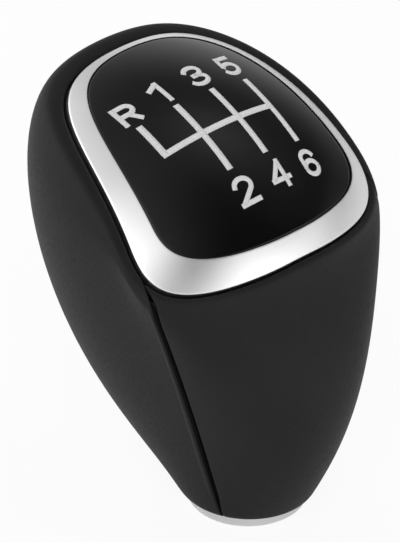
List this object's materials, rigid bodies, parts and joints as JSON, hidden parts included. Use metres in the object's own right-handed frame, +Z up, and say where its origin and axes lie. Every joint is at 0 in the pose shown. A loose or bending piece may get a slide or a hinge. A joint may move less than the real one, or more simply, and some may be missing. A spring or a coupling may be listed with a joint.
{
  "type": "gear shift knob",
  "caption": "Leather-wrapped gear shift knob with a slanted domed pattern cap in a satin bezel, a foot trim ring and a threaded lever socket.",
  "frame": {"origin": "on the lever axis, in the bottom face of the foot ring, at the mouth of the lever socket", "axes": "+Z up the lever, -Y towards the driver, +X to the driver's right"},
  "size_m": [0.054, 0.0572, 0.0752],
  "materials": {
    "core_plastic": "moulded, hidden under the leather",
    "insert_brass": "turned",
    "leather": "matte, fine grain",
    "satin_chrome": "satin",
    "gloss_black": "high gloss, printed",
    "ring_chrome": "satin"
  },
  "bodies": {
    "root": {"knob_core": "core_plastic", "lever_insert": "insert_brass", "rear_leather_panel": "leather", "front_leather_panel": "leather", "bezel_ring": "satin_chrome", "pattern_cap": "gloss_black", "base_ring": "ring_chrome"}
  },
  "joints": []
}
